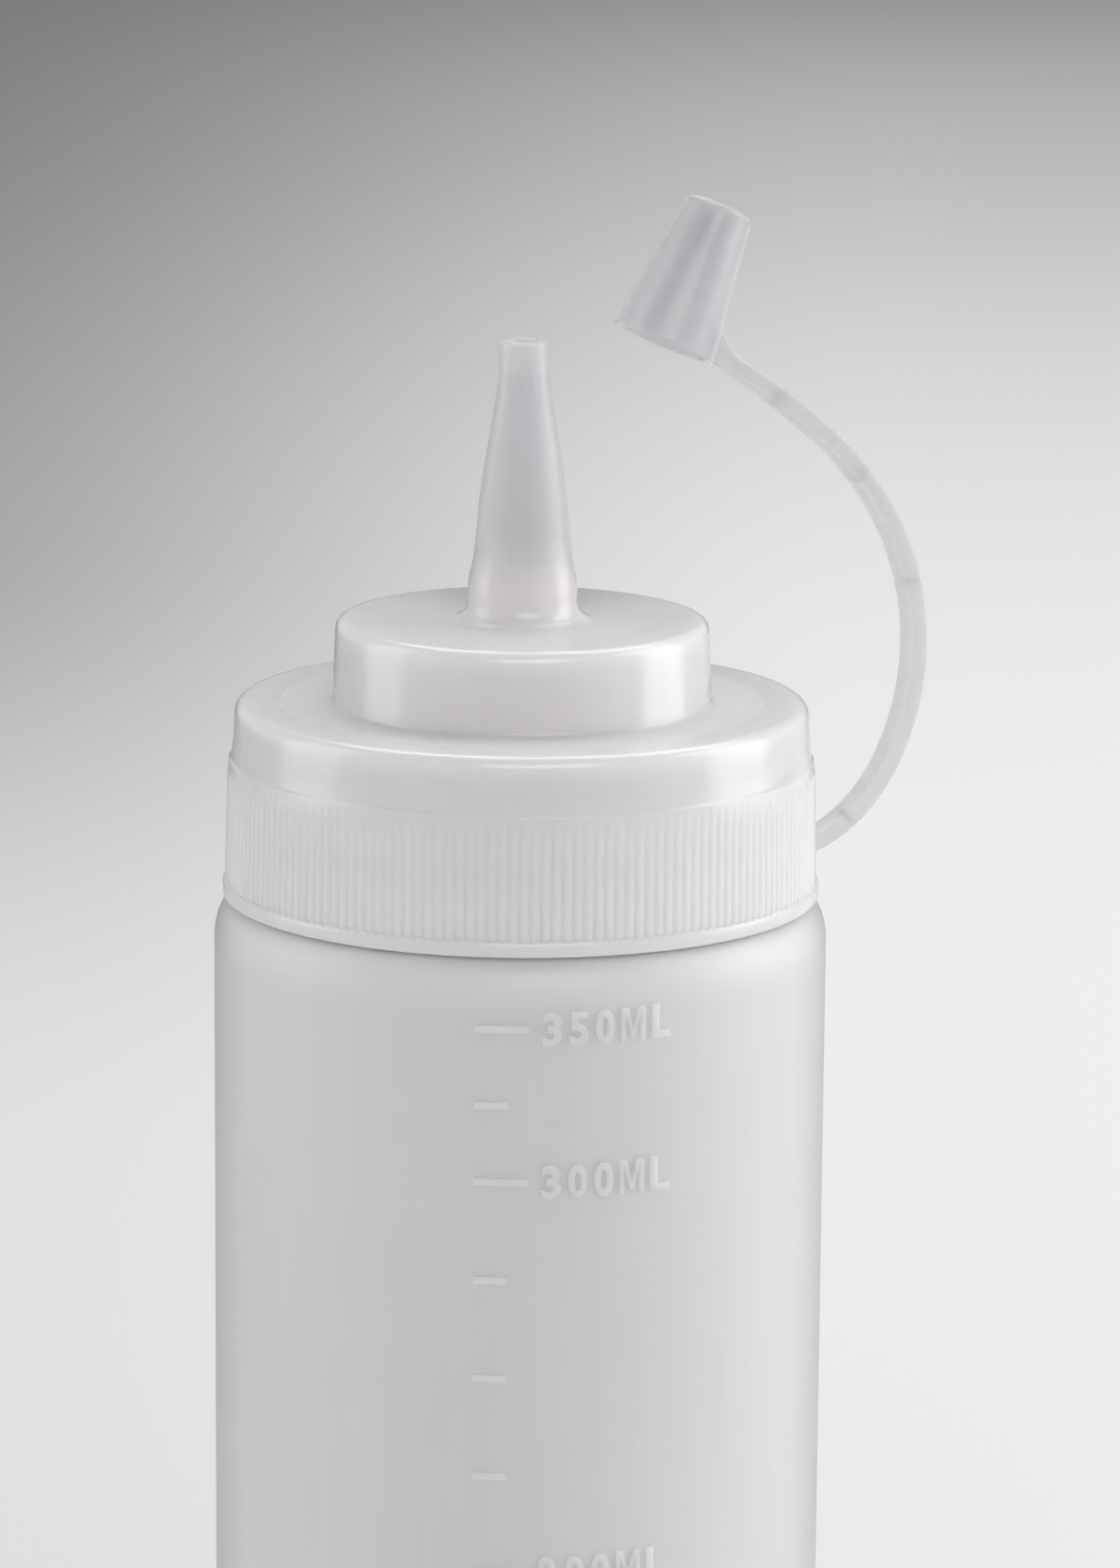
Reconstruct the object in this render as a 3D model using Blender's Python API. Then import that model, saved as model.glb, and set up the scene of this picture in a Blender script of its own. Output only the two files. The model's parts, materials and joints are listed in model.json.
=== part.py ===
"""Condiment squeeze bottle: screw lid with a cone nozzle, and a tip cap on a bending tether.

Runs alone: blender --background --python part.py
Lengths are metres, +Z is up, and the origin is the middle of the foot, on the plane the bottle stands on.
The tether lies in one upright plane through the bottle's axis. A place in that plane is written (u, z),
with u measured outward from the axis.
"""
import math

import bmesh
import bpy
from mathutils import Matrix, Vector

MM = 0.001

# Fits shared by all pieces
SEAT_GAP = 0.3 * MM
CUT_OVERRUN = 2.0 * MM
ROUND_STEPS = 4
TURN_SEGMENTS = 72
CAP_SEGMENTS = 36
WELD_DISTANCE = 0.001 * MM

# Bottle body
BODY_RADIUS = 30.0 * MM
BODY_FOOT_RADIUS = 29.75 * MM
BODY_HEIGHT = 139.35 * MM
BODY_WALL = 1.1 * MM
HEEL_RADIUS = 3.2 * MM
FOOT_RING_WIDTH = 2.4 * MM
FOOT_SLOPE_WIDTH = 3.0 * MM
PUSH_UP = 2.0 * MM
SHOULDER_HEIGHT = 4.0 * MM
SHOULDER_INSET = 2.2 * MM

# Neck, with room for a single thread between it and the lid
SHOULDER_STEP = 5.0 * MM
NECK_WALL = 1.6 * MM
NECK_HEIGHT = 15.9 * MM
NECK_EDGE = 0.4 * MM
THREAD_DEPTH = 1.2 * MM
THREAD_CLEARANCE = 0.4 * MM

# Loose sealing ring between the neck and the lid
SEAL_THICKNESS = 1.2 * MM
SEAL_INNER_LIP = 1.2 * MM

# Lid skirt, ribbed for grip, over a smooth bead
SKIRT_WALL = 1.75 * MM
SKIRT_HEIGHT = 12.75 * MM
BEAD_HEIGHT = 1.4 * MM
BEAD_PROUD = 0.55 * MM
BEAD_EDGE = 0.3 * MM
RIB_COUNT = 176
RIB_ROOT_PROUD = 0.08 * MM
RIB_DEPTH = 0.34 * MM
BAND_STEP_HEIGHT = 0.7 * MM
BAND_INSET = 0.2 * MM
BAND_TAPER = 0.4 * MM
BAND_CORNER = 1.1 * MM
DECK_THICKNESS = 1.5 * MM

# Turret, the round step that carries the nozzle
TURRET_RADIUS = 18.3 * MM
TURRET_TAPER = 0.2 * MM
TURRET_HEIGHT = 8.1 * MM
TURRET_WALL = 1.4 * MM
TURRET_CORNER = 1.0 * MM
TURRET_FOOT_FILLET = 0.6 * MM

# Nozzle
NOZZLE_LENGTH = 27.0 * MM
NOZZLE_BASE_RADIUS = 5.35 * MM
NOZZLE_TIP_RADIUS = 2.27 * MM
NOZZLE_FILLET = 1.7 * MM
NOZZLE_EDGE = 0.35 * MM
NOZZLE_WALL = 0.95 * MM
NOZZLE_TIP_BORE = 1.45 * MM
NOZZLE_TIP_LAND = 3.0 * MM
# Height above the turret, and radius from the tip's to the base's, at places along the cone
NOZZLE_STATION_SHARES = ((0.135, 0.965), (0.22, 0.81), (0.48, 0.58), (0.75, 0.20), (0.87, 0.055))

# Tether, a flat strap moulded with the lid: a stub, five links and the cap's stub, end to end
TETHER_AZIMUTH = math.radians(30.0)
TETHER_THICKNESS = 1.8 * MM
TETHER_WIDTH = 2.5 * MM
TETHER_ROOT_DEPTH = 0.9 * MM
TETHER_STUB_LENGTH = 2.6 * MM
TETHER_LINK_LENGTH = 12.64 * MM
TETHER_CAP_STUB_LENGTH = 3.6 * MM
TETHER_STUB_TURN = math.radians(13.5)
TETHER_LINK_TURNS = tuple(math.radians(turn) for turn in (45.5, 30.8, 29.0, 21.2, 8.0))
TETHER_CAP_STUB_TURN = math.radians(6.2)
LINK_STEPS = 5

# Tip cap
CAP_LENGTH = 14.5 * MM
CAP_MOUTH_RADIUS = 5.2 * MM
CAP_TOP_RADIUS = 3.35 * MM
CAP_WALL = 0.75 * MM
CAP_TOP_THICKNESS = 1.0 * MM
CAP_TOP_EDGE = 0.8 * MM
CAP_PIN_RADIUS = 1.0 * MM
CAP_PIN_LENGTH = 4.0 * MM
CAP_RIM_DROP = 0.2 * MM

# Finishes: colour, roughness
FROSTED_BODY = ((0.79, 0.80, 0.82), 0.42)
MILKY_LID = ((0.86, 0.86, 0.86), 0.28)
SOFT_SEAL = ((0.70, 0.71, 0.72), 0.6)

# Sizes that follow from the ones above
neck_radius = BODY_RADIUS - SHOULDER_STEP
neck_bore = neck_radius - NECK_WALL
neck_top = BODY_HEIGHT + NECK_HEIGHT
skirt_bore = neck_radius + THREAD_DEPTH + THREAD_CLEARANCE
lid_radius = skirt_bore + SKIRT_WALL
lid_bottom = BODY_HEIGHT + SEAT_GAP
bead_radius = lid_radius + BEAD_PROUD
rib_bottom = lid_bottom + BEAD_HEIGHT
rib_top = lid_bottom + SKIRT_HEIGHT
seal_bottom = neck_top + SEAT_GAP
deck_under = seal_bottom + SEAL_THICKNESS + SEAT_GAP
deck_top = deck_under + DECK_THICKNESS
turret_top = deck_top + TURRET_HEIGHT
nozzle_top = turret_top + NOZZLE_LENGTH
tether_half = TETHER_THICKNESS / 2
knuckle_pocket = tether_half + SEAT_GAP
quarter = math.pi / 2


def clear_scene():
    for item in list(bpy.data.objects):
        bpy.data.objects.remove(item, do_unlink=True)


def plastic(name, finish):
    colour, roughness = finish
    material = bpy.data.materials.new(name)
    material.use_nodes = True
    shader = material.node_tree.nodes["Principled BSDF"]
    shader.inputs["Base Color"].default_value = (*colour, 1.0)
    shader.inputs["Roughness"].default_value = roughness
    shader.inputs["Metallic"].default_value = 0.0
    return material


def arc(centre, radii, start, end, steps=ROUND_STEPS):
    """Points on an ellipse's arc round centre, both ends included."""
    points = []
    for step in range(steps + 1):
        angle = start + (end - start) * step / steps
        points.append((centre[0] + radii[0] * math.cos(angle), centre[1] + radii[1] * math.sin(angle)))
    return points


def turned(points, segments, closed):
    """A bmesh turned about Z from (radius, height) points; an open profile has both ends on the axis."""
    form = bmesh.new()
    ring = [form.verts.new((radius, 0.0, height)) for radius, height in points]
    edges = [form.edges.new(pair) for pair in zip(ring, ring[1:])]
    if closed:
        edges.append(form.edges.new((ring[-1], ring[0])))
    bmesh.ops.spin(form, geom=ring + edges, cent=(0, 0, 0), axis=(0, 0, 1), angle=2 * math.pi,
                   steps=segments, use_merge=True, use_duplicate=False)
    bmesh.ops.remove_doubles(form, verts=form.verts, dist=WELD_DISTANCE)
    bmesh.ops.recalc_face_normals(form, faces=form.faces)
    return form


def plate(outline, width):
    """A bmesh of an outline in the (u, z) plane, thickened evenly to both sides of that plane."""
    form = bmesh.new()
    corners = [form.verts.new((u, -width / 2, z)) for u, z in outline]
    face = form.faces.new(corners)
    grown = bmesh.ops.extrude_face_region(form, geom=[face])
    moved = [item for item in grown["geom"] if isinstance(item, bmesh.types.BMVert)]
    bmesh.ops.translate(form, verts=moved, vec=(0, width, 0))
    bmesh.ops.recalc_face_normals(form, faces=form.faces)
    return form


def add_object(name, form, place=Matrix(), finish=None, parent=None):
    mesh = bpy.data.meshes.new(name)
    form.to_mesh(mesh)
    form.free()
    item = bpy.data.objects.new(name, mesh)
    bpy.context.scene.collection.objects.link(item)
    item.matrix_world = place
    if parent is not None:
        bpy.context.view_layer.update()
        item.parent = parent
        item.matrix_parent_inverse = parent.matrix_world.inverted()
    if finish is not None:
        mesh.materials.append(plastic(name, finish))
        mesh.shade_smooth()
        mesh.set_sharp_from_angle(angle=math.radians(30.0))
    return item


def add_empty(name, place):
    item = bpy.data.objects.new(name, None)
    bpy.context.scene.collection.objects.link(item)
    item.empty_display_size = TETHER_LINK_LENGTH
    item.matrix_world = place
    return item


def combine(item, operand, operation):
    """Join or cut item with operand, which stays behind as a hidden guide."""
    operand.hide_render = True
    operand.display_type = "WIRE"
    change = item.modifiers.new(operand.name, "BOOLEAN")
    change.object = operand
    change.operation = operation
    change.solver = "EXACT"


def bottle_profile():
    """Closed outline of the blown wall, from the foot up the outside and back down the inside."""
    heel_centre = (BODY_FOOT_RADIUS - HEEL_RADIUS, HEEL_RADIUS)
    foot_inner = heel_centre[0] - FOOT_RING_WIDTH
    dome_edge = foot_inner - FOOT_SLOPE_WIDTH
    shoulder_centre = (BODY_RADIUS - SHOULDER_INSET, BODY_HEIGHT - SHOULDER_HEIGHT)
    outside = [(0.0, PUSH_UP), (dome_edge, PUSH_UP), (foot_inner, 0.0)]
    outside += arc(heel_centre, (HEEL_RADIUS, HEEL_RADIUS), -quarter, 0.0)
    outside += arc(shoulder_centre, (SHOULDER_INSET, SHOULDER_HEIGHT), 0.0, quarter)
    outside += [(neck_radius, BODY_HEIGHT), (neck_radius, neck_top - NECK_EDGE)]
    outside += [(neck_radius - NECK_EDGE, neck_top)]
    inside = [(neck_bore, neck_top), (neck_bore, BODY_HEIGHT - BODY_WALL)]
    inside += arc(shoulder_centre, (SHOULDER_INSET - BODY_WALL, SHOULDER_HEIGHT - BODY_WALL), quarter, 0.0)
    inside += arc(heel_centre, (HEEL_RADIUS - BODY_WALL, HEEL_RADIUS - BODY_WALL), 0.0, -quarter)
    inside += [(foot_inner, BODY_WALL), (dome_edge, PUSH_UP + BODY_WALL), (0.0, PUSH_UP + BODY_WALL)]
    return outside + inside


def add_bottle():
    form = turned(bottle_profile(), TURN_SEGMENTS, closed=False)
    return add_object("bottle", form, finish=FROSTED_BODY)


def add_sealing_ring(parent):
    inner = neck_bore - SEAL_INNER_LIP
    outer = skirt_bore - THREAD_CLEARANCE - SEAT_GAP
    top = seal_bottom + SEAL_THICKNESS
    corners = [(inner, seal_bottom), (outer, seal_bottom), (outer, top), (inner, top)]
    form = turned(corners, TURN_SEGMENTS, closed=True)
    return add_object("sealing_ring", form, finish=SOFT_SEAL, parent=parent)


def nozzle_stations(base_radius, tip_radius, top):
    """Points up the cone, whose middle swells a little, at shares of its length and radii."""
    points = []
    for height_share, radius_share in NOZZLE_STATION_SHARES:
        height = turret_top + NOZZLE_LENGTH * height_share
        if height < top:
            points.append((tip_radius + (base_radius - tip_radius) * radius_share, height))
    return points


def lid_outside():
    """Open outline of the filled lid, from its bottom edge to the nozzle's tip."""
    band_foot = lid_radius - BAND_INSET
    band_top = band_foot - BAND_TAPER
    turret_shoulder = TURRET_RADIUS - TURRET_TAPER
    fillet_centre = (NOZZLE_BASE_RADIUS + NOZZLE_FILLET, turret_top + NOZZLE_FILLET)
    points = [(0.0, lid_bottom), (bead_radius - BEAD_EDGE, lid_bottom), (bead_radius, lid_bottom + BEAD_EDGE)]
    points += [(bead_radius, rib_bottom - BEAD_EDGE), (bead_radius - BEAD_EDGE, rib_bottom)]
    points += [(lid_radius, rib_bottom), (lid_radius, rib_top), (band_foot, rib_top + BAND_STEP_HEIGHT)]
    points += arc((band_top - BAND_CORNER, deck_top - BAND_CORNER), (BAND_CORNER, BAND_CORNER), 0.0, quarter)
    points += [(TURRET_RADIUS + TURRET_FOOT_FILLET, deck_top), (TURRET_RADIUS, deck_top + TURRET_FOOT_FILLET)]
    points += arc((turret_shoulder - TURRET_CORNER, turret_top - TURRET_CORNER),
                  (TURRET_CORNER, TURRET_CORNER), 0.0, quarter)
    points += arc(fillet_centre, (NOZZLE_FILLET, NOZZLE_FILLET), -quarter, -2 * quarter)
    points += nozzle_stations(NOZZLE_BASE_RADIUS, NOZZLE_TIP_RADIUS, nozzle_top)[1:]
    points += [(NOZZLE_TIP_RADIUS, nozzle_top - NOZZLE_EDGE), (NOZZLE_TIP_RADIUS - NOZZLE_EDGE, nozzle_top)]
    return points + [(0.0, nozzle_top)]


def lid_hollow():
    """Open outline of the space inside the lid, run past its bottom edge and past the nozzle's tip."""
    turret_bore = TURRET_RADIUS - TURRET_WALL
    turret_under = turret_top - TURRET_WALL
    throat = NOZZLE_BASE_RADIUS - NOZZLE_WALL
    land_foot = nozzle_top - NOZZLE_TIP_LAND
    points = [(0.0, lid_bottom - CUT_OVERRUN), (skirt_bore, lid_bottom - CUT_OVERRUN), (skirt_bore, deck_under)]
    points += [(turret_bore, deck_under), (turret_bore, turret_under), (throat, turret_under)]
    points += nozzle_stations(throat, NOZZLE_TIP_BORE, land_foot)
    points += [(NOZZLE_TIP_BORE, land_foot), (NOZZLE_TIP_BORE, nozzle_top + CUT_OVERRUN)]
    return points + [(0.0, nozzle_top + CUT_OVERRUN)]


def rib_disc():
    """A disc whose rim zigzags between the ribs' roots and crests."""
    form = bmesh.new()
    made = bmesh.ops.create_circle(form, cap_ends=True, segments=2 * RIB_COUNT, radius=lid_radius + RIB_ROOT_PROUD)
    crest_scale = (lid_radius + RIB_ROOT_PROUD + RIB_DEPTH) / (lid_radius + RIB_ROOT_PROUD)
    crests = made["verts"][::2]
    bmesh.ops.scale(form, verts=crests, vec=(crest_scale, crest_scale, 1.0))
    grown = bmesh.ops.extrude_face_region(form, geom=list(form.faces))
    moved = [item for item in grown["geom"] if isinstance(item, bmesh.types.BMVert)]
    bmesh.ops.translate(form, verts=moved, vec=(0, 0, rib_top - rib_bottom))
    bmesh.ops.translate(form, verts=form.verts, vec=(0, 0, rib_bottom))
    bmesh.ops.recalc_face_normals(form, faces=form.faces)
    return form


def travel(point, angle, length, turn):
    """Where a path of this length ends, bending evenly by turn from its first direction."""
    reach = length
    if turn:
        reach = length * math.sin(turn / 2) / (turn / 2)
    middle = angle + turn / 2
    return (point[0] + reach * math.cos(middle), point[1] + reach * math.sin(middle)), angle + turn


def tether_stretches():
    """Start point, start direction, length and turn of each stretch of the tether, from the lid to the cap."""
    lengths = [TETHER_STUB_LENGTH] + [TETHER_LINK_LENGTH] * len(TETHER_LINK_TURNS) + [TETHER_CAP_STUB_LENGTH]
    turns = [TETHER_STUB_TURN, *TETHER_LINK_TURNS, TETHER_CAP_STUB_TURN]
    point, angle = (bead_radius, lid_bottom + tether_half), 0.0
    stretches = []
    for length, turn in zip(lengths, turns):
        stretches.append((point, angle, length, turn))
        point, angle = travel(point, angle, length, turn)
    return stretches


def beside(point, angle, offset):
    """The point that lies offset to the left of a direction."""
    return point[0] - offset * math.sin(angle), point[1] + offset * math.cos(angle)


def strap_outline(stretch, round_start, pocket_end):
    """Side view of one stretch: a rounded or square start, and a pocket for the next knuckle or a square end."""
    start, start_angle, length, turn = stretch
    side_length = length
    pocket_lip = math.asin(tether_half / knuckle_pocket)
    if pocket_end:
        side_length = length - knuckle_pocket * math.cos(pocket_lip)
    middle = []
    for step in range(LINK_STEPS + 1):
        share = side_length / length * step / LINK_STEPS
        middle.append(travel(start, start_angle, length * share, turn * share))
    if round_start:
        middle = middle[1:]
    outline = [beside(point, angle, -tether_half) for point, angle in middle]
    if pocket_end:
        hinge, hinge_angle = travel(start, start_angle, length, turn)
        outline.pop()
        outline += arc(hinge, (knuckle_pocket, knuckle_pocket), hinge_angle + math.pi + pocket_lip,
                       hinge_angle + math.pi - pocket_lip)
        middle.pop()
    outline += [beside(point, angle, tether_half) for point, angle in reversed(middle)]
    if round_start:
        outline += arc(start, (tether_half, tether_half), start_angle + quarter, start_angle + 3 * quarter)
    return outline


def hinge_place(point):
    """World place of a hinge, with its own X outward in the tether's plane."""
    spin = Matrix.Rotation(TETHER_AZIMUTH, 4, "Z")
    return spin @ Matrix.Translation(Vector((point[0], 0.0, point[1])))


def shifted(outline, origin):
    return [(u - origin[0], z - origin[1]) for u, z in outline]


def add_lid(parent):
    lid = add_object("lid", turned(lid_outside(), TURN_SEGMENTS, closed=False), finish=MILKY_LID, parent=parent)
    combine(lid, add_object("lid_ribs", rib_disc(), parent=parent), "UNION")
    stub = tether_stretches()[0]
    outline = strap_outline(stub, round_start=False, pocket_end=True)
    rooted = [(u - TETHER_ROOT_DEPTH if u <= bead_radius else u, z) for u, z in outline]
    root = add_object("tether_root", plate(rooted, TETHER_WIDTH), hinge_place((0.0, 0.0)), parent=parent)
    combine(lid, root, "UNION")
    hollow = turned(lid_hollow(), TURN_SEGMENTS, closed=False)
    combine(lid, add_object("lid_hollow", hollow, parent=parent), "DIFFERENCE")
    return lid


def add_tether_links(lid):
    """Five rigid links; each turns on the knuckle at its start, in the pocket of the stretch before it."""
    parent = lid
    stretches = tether_stretches()
    for number, stretch in enumerate(stretches[1:-1], start=1):
        outline = shifted(strap_outline(stretch, round_start=True, pocket_end=True), stretch[0])
        parent = add_object(f"tether_link_{number}", plate(outline, TETHER_WIDTH), hinge_place(stretch[0]),
                            finish=MILKY_LID, parent=parent)
    return parent


def cap_outside():
    top_corner = (CAP_TOP_RADIUS - CAP_TOP_EDGE, CAP_LENGTH - CAP_TOP_EDGE)
    rounded = arc(top_corner, (CAP_TOP_EDGE, CAP_TOP_EDGE), 0.0, quarter)
    return [(0.0, 0.0), (CAP_MOUTH_RADIUS, 0.0)] + rounded + [(0.0, CAP_LENGTH)]


def cap_hollow():
    """Open outline of the space inside the cap, round the pin that plugs the nozzle."""
    ceiling = CAP_LENGTH - CAP_TOP_THICKNESS
    pin_end = ceiling - CAP_PIN_LENGTH
    mouth = CAP_MOUTH_RADIUS - CAP_WALL
    points = [(0.0, -CUT_OVERRUN), (mouth, -CUT_OVERRUN), (mouth, 0.0), (CAP_TOP_RADIUS - CAP_WALL, ceiling)]
    return points + [(CAP_PIN_RADIUS, ceiling), (CAP_PIN_RADIUS, pin_end), (0.0, pin_end)]


def cap_pose():
    """Hinge point of the cap, and its turned form's place measured from that hinge."""
    stub = tether_stretches()[-1]
    rim, direction = travel(*stub)
    lean = math.pi - direction
    wall_radius = CAP_MOUTH_RADIUS - CAP_WALL / 2
    rim_drop = tether_half + CAP_RIM_DROP
    mouth = (rim[0] + wall_radius * math.cos(direction) - rim_drop * math.sin(lean),
             rim[1] + wall_radius * math.sin(direction) - rim_drop * math.cos(lean))
    offset = Matrix.Translation(Vector((mouth[0] - stub[0][0], 0.0, mouth[1] - stub[0][1])))
    return stub, offset @ Matrix.Rotation(lean, 4, "Y")


def add_tip_cap(last_link):
    stub, place = cap_pose()
    hinge = hinge_place(stub[0])
    body = turned(cap_outside(), CAP_SEGMENTS, closed=False)
    bmesh.ops.transform(body, matrix=place, verts=body.verts)
    cap = add_object("tip_cap", body, hinge, finish=MILKY_LID, parent=last_link)
    outline = shifted(strap_outline(stub, round_start=True, pocket_end=False), stub[0])
    combine(cap, add_object("cap_stub", plate(outline, TETHER_WIDTH), hinge, parent=last_link), "UNION")
    hollow = turned(cap_hollow(), CAP_SEGMENTS, closed=False)
    bmesh.ops.transform(hollow, matrix=place, verts=hollow.verts)
    combine(cap, add_object("cap_hollow", hollow, hinge, parent=last_link), "DIFFERENCE")
    return cap


def main():
    clear_scene()
    add_bottle()
    lid_axis = add_empty("lid_axis", Matrix.Translation(Vector((0.0, 0.0, lid_bottom))))
    add_sealing_ring(lid_axis)
    lid = add_lid(lid_axis)
    add_tip_cap(add_tether_links(lid))


main()
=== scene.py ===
"""Condiment squeeze bottle: moulded surfaces, finishes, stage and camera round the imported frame.

Lengths are metres and +Z is up. The tether lies in one upright plane through the bottle's axis; a place in
that plane is (u, z), with u outward from the axis.
"""
import json
import math

import bmesh
import bpy
from bpy.props import FloatProperty, FloatVectorProperty, IntProperty, PointerProperty
from mathutils import Matrix, Vector


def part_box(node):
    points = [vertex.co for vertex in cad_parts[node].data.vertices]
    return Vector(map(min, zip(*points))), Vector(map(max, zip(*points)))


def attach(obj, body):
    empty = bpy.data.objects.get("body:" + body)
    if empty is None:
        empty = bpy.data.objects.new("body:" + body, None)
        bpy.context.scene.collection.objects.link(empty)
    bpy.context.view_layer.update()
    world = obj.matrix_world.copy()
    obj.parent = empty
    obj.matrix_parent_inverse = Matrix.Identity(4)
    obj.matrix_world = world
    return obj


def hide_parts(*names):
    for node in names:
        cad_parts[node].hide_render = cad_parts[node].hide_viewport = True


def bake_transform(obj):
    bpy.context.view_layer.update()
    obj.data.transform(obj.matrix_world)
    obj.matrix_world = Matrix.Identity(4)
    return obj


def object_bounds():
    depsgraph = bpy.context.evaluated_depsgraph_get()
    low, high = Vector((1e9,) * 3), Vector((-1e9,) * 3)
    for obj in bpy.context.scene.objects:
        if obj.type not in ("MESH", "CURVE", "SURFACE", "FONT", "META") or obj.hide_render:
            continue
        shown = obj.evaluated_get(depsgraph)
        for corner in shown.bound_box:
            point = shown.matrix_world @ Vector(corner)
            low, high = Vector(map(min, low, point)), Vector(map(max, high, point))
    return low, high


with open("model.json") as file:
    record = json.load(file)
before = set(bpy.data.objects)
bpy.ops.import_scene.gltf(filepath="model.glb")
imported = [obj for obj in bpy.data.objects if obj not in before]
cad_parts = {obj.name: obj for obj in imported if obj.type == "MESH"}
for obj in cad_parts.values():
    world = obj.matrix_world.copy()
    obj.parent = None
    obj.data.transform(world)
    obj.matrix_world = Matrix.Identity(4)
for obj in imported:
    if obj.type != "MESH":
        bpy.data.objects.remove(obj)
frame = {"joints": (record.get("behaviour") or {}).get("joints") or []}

bl_info = {
    "name": "Condiment squeeze bottle",
    "version": (1, 0, 0),
    "blender": (4, 5, 0),
    "location": "3D View > Sidebar > Squeeze Bottle",
    "description": "Dresses the squeeze bottle's frame with its moulded surfaces, finishes, stage and camera",
    "category": "Add Mesh",
}

MM = 0.001
QUARTER = math.pi / 2
WELD = 0.0005 * MM
CAD_LOW, CAD_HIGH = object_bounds()
BOTTLE_LOW, BOTTLE_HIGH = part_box("bottle")
LID_LOW, LID_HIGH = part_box("lid")
SEAL_LOW, SEAL_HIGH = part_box("sealing_ring")
HINGE_NAMES = ("cap_swing", "tether_bend_2", "tether_bend_3", "cap_press", "tether_bend_5", "tether_bend_6")

# Heights under the lid's tip between which the nozzle turns from the lid's milky wall to a clear one
THIN_STARTS, THIN_FULL = 27.0 * MM, 17.0 * MM
# The deck is sanded inside this radius
SANDED_REACH = 23.45 * MM
# One rib from groove to groove: how far it stands out at each quarter of its width
RIB_SECTION = (0.0, 0.72, 1.0, 0.72, 0.0)
# Shares of the ribs' height where the skirt has a ring of points, closer together where the ribs ramp up and down
RIB_RINGS = (0.0, 0.05, 0.1, 0.3, 0.5, 0.7, 0.85, 0.9, 0.95, 1.0)
# The nozzle's side as shares of its height and of its taper
NOZZLE_SIDE = ((0.0, 1.0), (0.135, 0.965), (0.22, 0.81), (0.48, 0.58), (0.75, 0.20), (0.87, 0.055), (1.0, 0.0))
# Height of the thread's start above the shoulder
THREAD_FOOT = 2.6 * MM
# The painted light on the floor spreads as a fan from this far in front of the bottle; its soft edge lies between two
# slopes
FAN_START = 0.531
FAN_EDGE = (-0.107, 0.0511)
# Distances behind the bottle between which the painted light and painted shade on the floor change
LEFT_PALES = (1.2, 3.4)
RIGHT_PALES = (0.1, 1.5)
RIGHT_DARKENS = (1.7, 2.7)
# Soft lamps: name, place, size, and the stage setting that holds the power
LAMPS = (
    ("key_right", (1.3, 0.15, 0.55), (0.9, 1.6), "key_power"),
    ("fill_left", (-1.3, 0.05, 0.55), (0.8, 1.6), "fill_power"),
    ("top_back", (0.15, 0.7, 1.35), (1.4, 0.8), "top_power"),
    ("front_low", (0.25, -1.6, 1.0), (1.4, 0.8), "front_power"),
)
LAMP_AIM = Vector((0.0, 0.0, 0.12))
# Volumes, in ml, whose marks are long and labelled
LABELLED = (350, 300, 200, 100)


def length(name, description, default, low=0.0):
    return FloatProperty(name=name, description=description, default=default, min=low, unit="LENGTH", precision=5)


def angle(name, description, degrees):
    return FloatProperty(name=name, description=description, default=math.radians(degrees), subtype="ANGLE")


def colour(name, description, default):
    return FloatVectorProperty(name=name, description=description, default=default, size=3, min=0.0, max=1.0,
                               subtype="COLOR")


def share(name, description, default):
    return FloatProperty(name=name, description=description, default=default, min=0.0, max=1.0, subtype="FACTOR")


class BottleSizes(bpy.types.PropertyGroup):
    """Sizes of the blown body and its neck"""

    wall: length("Wall", "Thickness of the blown wall", 1.1 * MM)
    relief: length("Relief", "How far the measuring marks stand proud of the wall", 0.28 * MM)
    heel: length("Heel radius", "Rounding between the wall and the foot", 3.2 * MM)
    foot_ring: length("Foot ring", "Width of the flat ring that the bottle stands on", 2.4 * MM)
    push_up: length("Push-up", "Height of the hollow under the foot", 2.0 * MM)
    foot_taper: length("Foot taper", "How much narrower the body is at the foot", 0.25 * MM)
    shoulder_height: length("Shoulder height", "Height of the rounded shoulder", 4.0 * MM)
    shoulder_inset: length("Shoulder inset", "Width of the rounded shoulder", 2.2 * MM)
    shoulder_step: length("Shoulder step", "From the body's side in to the neck", 5.0 * MM)
    neck_wall: length("Neck wall", "Thickness of the neck", 1.6 * MM)
    neck_height: length("Neck height", "Height of the neck above the shoulder", 15.9 * MM)
    thread_depth: length("Thread depth", "How far the thread stands out of the neck", 1.0 * MM)
    thread_width: length("Thread width", "Width of the thread's root", 1.5 * MM)
    thread_lead: length("Thread lead", "Rise of the thread in one turn", 4.2 * MM)


class MarkSizes(bpy.types.PropertyGroup):
    """Places and sizes of the measuring marks"""

    top: length("Top mark", "Height of the 350 mark", 133.0 * MM)
    upper_step: length("Upper step", "Rise for each 25 above the 300 mark", 7.4 * MM)
    lower_step: length("Lower step", "Rise for each 25 below the 300 mark", 9.6 * MM)
    start: angle("Left end", "Where each mark starts, from the front", -7.85)
    long_end: angle("Long mark's end", "Where a long mark ends, from the front", 2.0)
    short_end: angle("Short mark's end", "Where a short mark ends, from the front", -1.7)
    thickness: length("Mark thickness", "Height of a mark's bar", 0.78 * MM)
    letter_start: angle("Label's left end", "Where a label starts, from the front", 4.3)
    letter_width: angle("Figure width", "Arc that one figure takes", 3.65)
    letter_gap: angle("Figure gap", "Arc between two figures", 1.2)
    letter_height: length("Label height", "Height of the labels' figures", 3.35 * MM)
    letter_rise: length("Label rise", "How much higher a label's last figure stands than its first", 0.3 * MM)


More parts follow.
